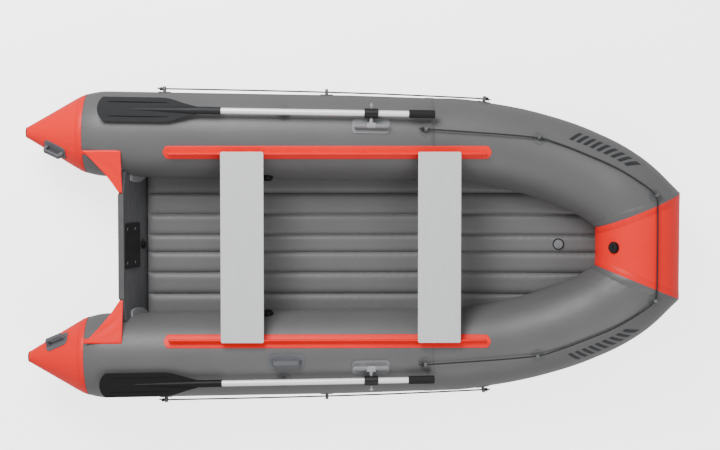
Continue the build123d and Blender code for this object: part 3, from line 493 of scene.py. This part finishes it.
ring = [k * math.tau / 96 for k in range(96)]
aft_rows = []
for s in np.linspace(stern_seam, chamber_seam, 150):
    lift = [ripple(s, a, stern_seam) + ripple(s, a, chamber_seam) for a in ring]
    aft_rows.append([on_skin(s, a, e) for a, e in zip(ring, lift)])
both_sides("tube_aft", grid(aft_rows, True), grey, "hull_fabric", "tube_SIDE_aft")

ends = [mitre_end(a) for a in ring]
fore_rows = []
for k in range(111):
    share = k / 110
    row = []
    for a, end in zip(ring, ends):
        s = chamber_seam + (end - chamber_seam) * share
        row.append(on_skin(s, a, ripple(s, a, chamber_seam) + ripple(s, a, end, 0.06, 0.0014)))
    fore_rows.append(row)
both_sides("tube_fore", grid(fore_rows, True), grey, "hull_fabric", "tube_SIDE_fore")

cone_rows = []
for s in np.linspace(cone_tip, stern_seam, 44):
    cone_rows.append([on_skin(s, a, ripple(s, a, stern_seam, 0.05, 0.0013)) for a in ring])
tip = axis_at(cone_tip)[0]
cone_rows.insert(0, [tip + (p - tip) * 0.5 for p in cone_rows[0]])
cone_rows.insert(0, [tip for _ in ring])
both_sides("cone", grid(cone_rows, True), red, "red_fabric", "stern_cone_SIDE")

bow_height = 0.356
bow_front = 1.471


def bow_half_width(x):
    return mitre_point[1] - mitre_normal[0] / mitre_normal[1] * (x - mitre_point[0])


def on_bow(share, angle, extra=0.0):
    """Point on the bow tube: share from -1 to 1 across it, angle radians forward of its top."""
    x = bow_front + (bow_radius + extra) * math.sin(angle)
    z = bow_height + (bow_radius + extra) * math.cos(angle)
    return np.array([x, share * bow_half_width(x), z])


bow_rows = []
for k in range(49):
    share = -1 + 2 * k / 48
    row = []
    for a in ring:
        edge = (1 - abs(share)) * 0.19
        waves = math.sin(a * 31 + 1.2) + 0.6 * math.sin(a * 47)
        row.append(on_bow(share, a, 0.0014 * math.exp(-((edge / 0.05) ** 2)) * waves))
    bow_rows.append(row)
add_mesh("bow", *grid(bow_rows, True), red, "red_fabric", stands_for=("bow_tube",))


# ---------------------------------------------------------------- seam tapes


def tape_rows(profile, place):
    return [[place(a, shift, lift) for a in ring] for shift, lift in profile]


def flat_band(width, lift=0.0011):
    half = width / 2
    return [(-half, 0.0), (-half + 0.0012, lift), (half - 0.0012, lift), (half, 0.0)]


chamber_tape = tape_rows(
    flat_band(0.042),
    lambda a, d, e: on_skin(chamber_seam + d, a, e + ripple(chamber_seam, a, chamber_seam)),
)
both_sides("chamber_tape", grid(chamber_tape, True), grey_tape, "hull_fabric")
stern_tape = tape_rows(flat_band(0.036), lambda a, d, e: on_skin(stern_seam + d, a, e + 0.0012))
both_sides("stern_tape", grid(stern_tape, True), red_tape, "red_fabric")
mitre_tape = tape_rows(
    [(-0.034, 0.0), (-0.033, 0.0010), (-0.002, 0.0012), (0.0, 0.0012)],
    lambda a, d, e: on_skin(mitre_end(a, e) + d, a, e),
)
both_sides("mitre_tape", grid(mitre_tape, True), grey_tape, "hull_fabric")
bow_tape_rows = []
for shift, lift in ((0.0, 0.0012), (0.002, 0.0012), (0.033, 0.0010), (0.034, 0.0)):
    row = []
    for a in ring:
        half = bow_half_width(bow_front + (bow_radius + lift) * math.sin(a))
        row.append(on_bow(1 - shift / half, a, lift))
    bow_tape_rows.append(row)
both_sides("bow_tape", grid(bow_tape_rows, True), red_tape, "red_fabric")

# Lengthwise weld of each side tube, low on the outboard side
weld_rows = []
for k in range(161):
    s = stern_seam + 0.02 + (1.40 - stern_seam) * k / 160
    weld_rows.append([on_skin(s, math.radians(118) + d / big_radius, e) for d, e in flat_band(0.028, 0.0012)])
both_sides("long_weld", grid(weld_rows), grey_tape, "hull_fabric")

# ---------------------------------------------------------------- inflatable floor

floor_seams = [0.046, 0.155, 0.268]
crest_z = 0.130
seam_z = 0.108
low_seam_z = 0.024
low_crest_z = 0.006
knee_x = 0.600
rise = 0.14
floor_end_x = 1.345
bow_axis = np.array([[1.471, y, 0.356] for y in np.linspace(-0.19, 0.19, 30)])


def clear_of_tubes(point):
    """Distance from a point to the nearest tube skin."""
    side = np.linalg.norm(axis_line - point, axis=1)
    radius = big_radius if point[0] < 0 else max(bow_radius, big_radius - 0.007 * point[0] / 0.4)
    bow_gap = np.linalg.norm(bow_axis - point, axis=1).min() - bow_radius
    return min(side.min() - radius, bow_gap)


def reach_to_tube(x, z, gap=0.003):
    """How far from the middle a level line at x and z gets before it meets the side tube."""
    low, high = 0.0, 0.46
    if clear_of_tubes(np.array([x, 0.0, z])) < gap:
        return 0.0
    for _ in range(22):
        middle = (low + high) / 2
        if clear_of_tubes(np.array([x, middle, z])) > gap:
            low = middle
        else:
            high = middle
    return low


def floor_slope(x):
    bend = 0.05
    if x < knee_x - bend:
        return 0.0
    if x > knee_x + bend:
        return (x - knee_x) * rise
    return rise * (x - knee_x + bend) ** 2 / (4 * bend)


def chamber(y, edges):
    """0 at the seams and 1 at the crest of the chamber that y is in."""
    for left, right in zip(edges, edges[1:]):
        if left <= y <= right:
            across_half = (right - left) / 2
            share = (y - (left + right) / 2) / max(across_half, 1e-6)
            return math.sqrt(max(0.0, 1 - share * share * 0.96)) * 1.25 - 0.25 * (1 - abs(share)) ** 2
    return 0.0


def floor_rows(seam_height, crest_height, x_values, aft_round):
    rows = []
    for x in x_values:
        lift = floor_slope(x)
        width = max(reach_to_tube(x, seam_height + lift), 0.02)
        stops = [-0.5, *[-y for y in reversed(floor_seams)], *floor_seams, 0.5]
        seams = [max(-width, min(width, y)) for y in stops]
        row = []
        for left, right in zip(seams, seams[1:]):
            for j in range(12):
                row.append(left + (right - left) * (1 - math.cos(math.pi * j / 12)) / 2)
        row.append(seams[-1])
        edges = [-width, *[y for y in seams[1:-1] if abs(y) < width - 0.004], width]
        points = []
        end_fade = 1.0
        if aft_round and x < x_values[0] + 0.05:
            end_fade = math.sqrt(max(0.0, 1 - ((x_values[0] + 0.05 - x) / 0.05) ** 2))
        fore_fade = min(1.0, max(0.0, (floor_end_x - x) / 0.05))
        for y in row:
            swell = min(1.0, chamber(y, edges)) * end_fade * math.sqrt(fore_fade)
            nearest = min(abs(y - e) for e in edges)
            pucker = 0.0011 * math.exp(-((nearest / 0.022) ** 2)) * math.sin(x * 150 + 3 * math.sin(x * 11 + y * 7))
            sign = 1 if crest_height > seam_height else -1
            points.append((x, y, seam_height + lift + (crest_height - seam_height) * swell + sign * pucker * swell))
        rows.append(points)
    return rows


floor_aft_x = -1.078
floor_x = [floor_aft_x + 0.05 * (k / 10) ** 2 for k in range(10)]
floor_x += list(np.linspace(floor_aft_x + 0.05, floor_end_x, 250))
upper_rows = floor_rows(seam_z, crest_z, floor_x, True)
aft_face = [(floor_aft_x - 0.002, p[1], 0.070) for p in upper_rows[0]]
upper_rows.insert(0, aft_face)
add_mesh("floor_top", *grid(upper_rows), floor_grey, "floor_fabric", stands_for=("floor_upper_skin",), up=True)
lower_x = list(np.linspace(floor_aft_x, floor_end_x, 150))
lower_rows = floor_rows(low_seam_z, low_crest_z, lower_x, False)
lower_rows.insert(0, [(floor_aft_x - 0.002, p[1], 0.069) for p in lower_rows[0]])
add_mesh("floor_under", *grid(lower_rows), grey, "hull_fabric", stands_for=("floor_lower_skin",))

seam_band = ((-0.006, 0.0005), (-0.0045, 0.0024), (0.0045, 0.0024), (0.006, 0.0005))
for index, seam_y in enumerate([-y for y in reversed(floor_seams)] + floor_seams):
    rows = []
    for x in np.linspace(floor_aft_x + 0.03, floor_end_x - 0.05, 180):
        if reach_to_tube(x, seam_z + floor_slope(x)) < abs(seam_y) + 0.012:
            break
        base = seam_z + floor_slope(x)
        rows.append([(x, seam_y + d, base + e) for d, e in seam_band])
    add_mesh(f"floor_seam_{index + 1}", *grid(rows), grey_tape, "floor_fabric", up=True)

# ---------------------------------------------------------------- seat rails


def top_of_tube(x, y, extra):
    low, high = 0.36, 0.62
    for _ in range(24):
        middle = (low + high) / 2
        if clear_of_tubes(np.array([x, y, middle])) < extra:
            low = middle
        else:
            high = middle
    return low


rail_aft, rail_fore = -0.954, 0.707
rail_centre, rail_half = 0.480, 0.033
rail_corner = 0.024
rail_profile = (
    (-1, 0.0004),
    (-0.97, 0.0022),
    (-0.84, 0.0026),
    (-0.5, 0.0024),
    (-0.2, 0.0026),
    (0.2, 0.0024),
    (0.5, 0.0026),
    (0.84, 0.0024),
    (0.97, 0.0022),
    (1, 0.0004),
)
rail_rows = []
for k in range(121):
    x = rail_aft + (rail_fore - rail_aft) * k / 120
    end_gap = min(x - rail_aft, rail_fore - x)
    half = rail_half
    if end_gap < rail_corner:
        half = rail_half - rail_corner + math.sqrt(max(0.0, rail_corner**2 - (rail_corner - end_gap) ** 2))
    row = []
    for share, lift in rail_profile:
        y = rail_centre + half * share
        row.append((x, y, top_of_tube(x, y, lift + 0.00025 * math.sin(x * 90 + share * 3))))
    rail_rows.append(row)
bead_y, bead_z, bead_radius = 0.472, 0.478, 0.0050
bead_rows = []
for k in range(171):
    x = rail_aft + 0.024 + (rail_fore - rail_aft - 0.048) * k / 170
    foot = top_of_tube(x, bead_y, 0.001)
    row = []
    for angle in np.linspace(-math.pi * 0.86, math.pi * 0.86, 17):
        swell = bead_radius + 0.00018 * math.sin(x * 420 + angle * 2)
        row.append((x, bead_y + swell * math.sin(angle), bead_z + swell * math.cos(angle)))
    row = [(x, bead_y - 0.0022, foot)] + row + [(x, bead_y + 0.0022, foot)]
    bead_rows.append(row)
first = [(bead_rows[0][0][0], bead_y, bead_z) for _ in bead_rows[0]]
last = [(bead_rows[-1][0][0], bead_y, bead_z) for _ in bead_rows[-1]]
bead_rows = [first, *bead_rows, last]
both_sides("rail_strip", grid(rail_rows), red, "red_fabric", "seat_rail_SIDE", up=True)
both_sides("rail_bead", grid(bead_rows), red_tape, "red_fabric")

# Two rows of stitches along each rail strip
stitch_count = 230
stitch_long, stitch_wide, stitch_high = 0.0022, 0.0005, 0.0007
stitch_shape = (
    (-stitch_long, -stitch_wide, 0),
    (stitch_long, -stitch_wide, 0),
    (stitch_long, stitch_wide, 0),
    (-stitch_long, stitch_wide, 0),
    (0, 0, stitch_high),
)
stitch_verts, stitch_faces = [], []
for k in range(stitch_count):
    x = rail_aft + 0.03 + (rail_fore - rail_aft - 0.06) * k / (stitch_count - 1)
    for y in (rail_centre - 0.029, rail_centre + 0.029):
        base = len(stitch_verts)
        z = top_of_tube(x, y, 0.0026)
        for dx, dy, dz in stitch_shape:
            stitch_verts.append((x + dx, y + dy, z + dz))
        stitch_faces += [(base + i, base + (i + 1) % 4, base + 4) for i in range(4)]
both_sides("rail_stitches", (stitch_verts, stitch_faces), red_tape, "red_fabric", up=True)

# ---------------------------------------------------------------- transom knees

gusset_low, gusset_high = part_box("transom_gussets")
knee_fore_x = gusset_high.x + 0.026
knee_length = knee_fore_x - gusset_low.x
knee_y_outer, knee_y_inner = 0.489, 0.274
knee_tip = 0.016
knee_lift = 0.0016
knee_edge_z = top_of_tube(knee_fore_x, knee_y_outer, knee_lift)
knee_corner_z = gusset_low.z + 0.0025
knee_on_tube_y = 0.43
knee_rows = []
for i in range(25):
    v = i / 24
    y = knee_y_outer + (knee_y_inner - knee_y_outer) * v
    length = knee_length * (1 - v) + knee_tip * v - 0.012 * math.sin(math.pi * v)
    row = []
    for j in range(21):
        w = j / 20
        x = knee_fore_x - 0.001 - length * w
        hang = 0.0025 * math.sin(math.pi * w) * math.sin(math.pi * v)
        wave = 0.0009 * math.sin(w * 9 + v * 14) * math.sin(math.pi * v)
        z = knee_edge_z + (knee_corner_z - knee_edge_z) * v - hang + wave
        if y > knee_on_tube_y:
            z = max(z, top_of_tube(x, y, knee_lift))
        row.append((x, y, z))
    knee_rows.append(row)
for side in ("port", "starboard"):
    names = ("transom_gussets",) if side == "port" else ()
    knee = add_mesh(
        f"knee_{side}",
        *grid(knee_rows),
        red,
        "red_fabric",
        stands_for=names,
        thick=0.0012,
        mirror=side == "starboard",
        up=True,
    )

# Glued flap that carries each knee on its tube
flap_length = 0.212
flap_middle_y = 0.480
flap_half = 0.013
flap_rows = []
for k in range(41):
    s = stern_seam + flap_length * k / 40
    narrow = min(1.0, min(k, 40 - k) / 4 + 0.35)
    row = []
    for share, lift in ((-1, 0.0003), (-0.93, 0.0014), (0, 0.0016), (0.93, 0.0014), (1, 0.0003)):
        centre = axis_at(s)[0]
        lean = math.asin(max(-1, min(1, (flap_middle_y - centre[1]) / radius_at(s))))
        row.append(on_skin(s, lean + share * narrow * flap_half / radius_at(s), lift))
    flap_rows.append(row)
both_sides("knee_flap", grid(flap_rows), red_tape, "red_fabric", up=True)

# ---------------------------------------------------------------- plain marks on the bow shoulders

mark_pitch = 0.036
mark_width = 0.020
mark_slant = 0.034
mark_length = 0.070
mark_inner_angle = math.radians(33)
mark_verts, mark_faces = [], []
for index in range(9):
    start = chamber_seam + 0.700 + index * mark_pitch
    base = len(mark_verts)
    steps = 8
    for i in range(steps + 1):
        v = i / steps
        for j in range(3):
            s = start + mark_width * j / 2 + mark_slant * v
            mark_verts.append(on_skin(s, mark_inner_angle + v * mark_length / bow_radius, 0.0005))
    for i in range(steps):
        for j in range(2):
            a = base + i * 3 + j
            mark_faces.append((a, a + 1, a + 4, a + 3))
both_sides("shoulder_marks", (mark_verts, mark_faces), mark_dark, "hull_fabric", up=True)

# ---------------------------------------------------------------- painted shade in the grooves of the oar blades

outboard_way = np.array([-aft_heading[1], aft_heading[0], 0.0])
oar_offset = 0.122
blade_top = 0.245 + 0.238 + 0.005
groove_aft, groove_length = -1.2245, 0.298
groove_offset = 0.036
groove_half = 0.0027
# Two thin near-black strips per blade on the slot floors, as painted shade in the slots.
for side in ("port", "starboard"):
    groove_verts, groove_faces = [], []
    for edge in (-1, 1):
        base = len(groove_verts)
        for i in range(25):
            t = groove_aft + groove_length * i / 24
            middle = oar_offset + edge * groove_offset
            half = groove_half * math.sqrt(math.sin(math.pi * (i + 0.5) / 25))
            for offset in (-half, half):
                place = tube_start + aft_heading * t + outboard_way * (middle + offset)
                groove_verts.append((place[0], place[1], blade_top - 0.0015))
        groove_faces += [(base + 2 * i, base + 2 * i + 1, base + 2 * i + 3, base + 2 * i + 2) for i in range(24)]
    add_mesh(
        f"blade_groove_shade_{side}",
        groove_verts,
        groove_faces,
        groove_painted_shade,
        "blade_plastic",
        body=f"oar_{side}",
        mirror=side == "starboard",
        up=True,
    )

# ---------------------------------------------------------------- finishes of the hard parts

finishes = {
    "keel_guards": black_rubber,
    "cone_caps": black_rubber,
    "oarlock_base_port": base_grey,
    "oarlock_base_starboard": base_grey,
    "oar_clips": eye_grey,
    "lifeline_eyes": eye_grey,
    "bow_rope_eyes": eye_grey,
    "tow_eye": eye_grey,
    "transom_holders": holder_grey,
    "motor_plate_inner": black,
    "motor_plate_outer": black,
    "oar_collar_port": black,
    "oar_collar_starboard": black,
    "oar_grip_port": dark_grip,
    "oar_grip_starboard": dark_grip,
    "drain_flange": black,
    "drain_plug": black,
    "transom_trim": trim_grey,
    "valve_bodies": black,
    "valve_cap_port": black,
    "valve_cap_starboard": black,
    "valve_cap_bow": black,
    "valve_cap_floor": valve_grey,
    "oarlock_block_port": grey_plastic,
    "oarlock_block_starboard": grey_plastic,
    # The two blade finishes are lit and shaded copies of one plastic: painted highlight to port, painted shade to
    # starboard.
    "oar_blade_port": blade_painted_lit_port,
    "oar_blade_starboard": blade_painted_shade_starboard,
    "carry_handle_starboard": handle_rubber,
    "cone_handles": handle_rubber,
    "transom_board": board,
    "bench_rear_board": seat,
    "bench_front_board": seat,
    "bench_rear_tracks": track_grey,
    "bench_front_tracks": track_grey,
    "oar_shaft_lower_port": aluminium,
    "oar_shaft_lower_starboard": aluminium,
    "oar_shaft_upper_port": aluminium,
    "oar_shaft_upper_starboard": aluminium,
    "transom_screws": steel,
    "oarlock_rods": steel,
    "oarlock_ring_port": steel,
    "oarlock_ring_starboard": steel,
    "bulkheads": grey,
    "floor_webs": grey,
}
for node_name, mat in finishes.items():
    node = nodes[node_name]
    if not node.material_slots:
        node.data.materials.append(mat)
    for place in node.material_slots:
        place.material = mat

# ---------------------------------------------------------------- studio

stage_mesh = bpy.data.meshes.new("studio_floor")
stage_half, stage_z = 40, -0.002
stage_corners = [(x * stage_half, y * stage_half, stage_z) for x, y in ((-1, -1), (1, -1), (1, 1), (-1, 1))]
stage_mesh.from_pydata(stage_corners, [], [(0, 1, 2, 3)])
stage_floor = bpy.data.objects.new("studio_floor", stage_mesh)
scene.collection.objects.link(stage_floor)
pale, _, pale_surface, _ = shader("pale_floor", 0.9)
pale_surface.inputs["Base Color"].default_value = (0.92, 0.92, 0.92, 1)
pale_surface.inputs["Emission Color"].default_value = (1, 1, 1, 1)
pale_surface.inputs["Emission Strength"].default_value = 2.6
stage_floor.visible_diffuse = False
stage_floor.visible_glossy = False
stage_mesh.materials.append(pale)


def soft_light(name, place, aim, size, power):
    data = bpy.data.lights.new(name, "AREA")
    data.shape = "SQUARE"
    data.size = size
    data.energy = power
    light = bpy.data.objects.new(name, data)
    scene.collection.objects.link(light)
    light.location = place
    light.rotation_euler = (Vector(aim) - Vector(place)).to_track_quat("-Z", "Y").to_euler()


soft_light("key", (-1.7, 3.4, 4.1), (-0.7, 0, 0.2), 2.5, 320)
soft_light("fill", (1.5, -4.0, 4.0), (0, 0, 0.2), 3.5, 90)
world = bpy.data.worlds.new("studio")
world.use_nodes = True
world.node_tree.nodes["Background"].inputs["Color"].default_value = (1, 1, 1, 1)
world.node_tree.nodes["Background"].inputs["Strength"].default_value = 0.75
scene.world = world
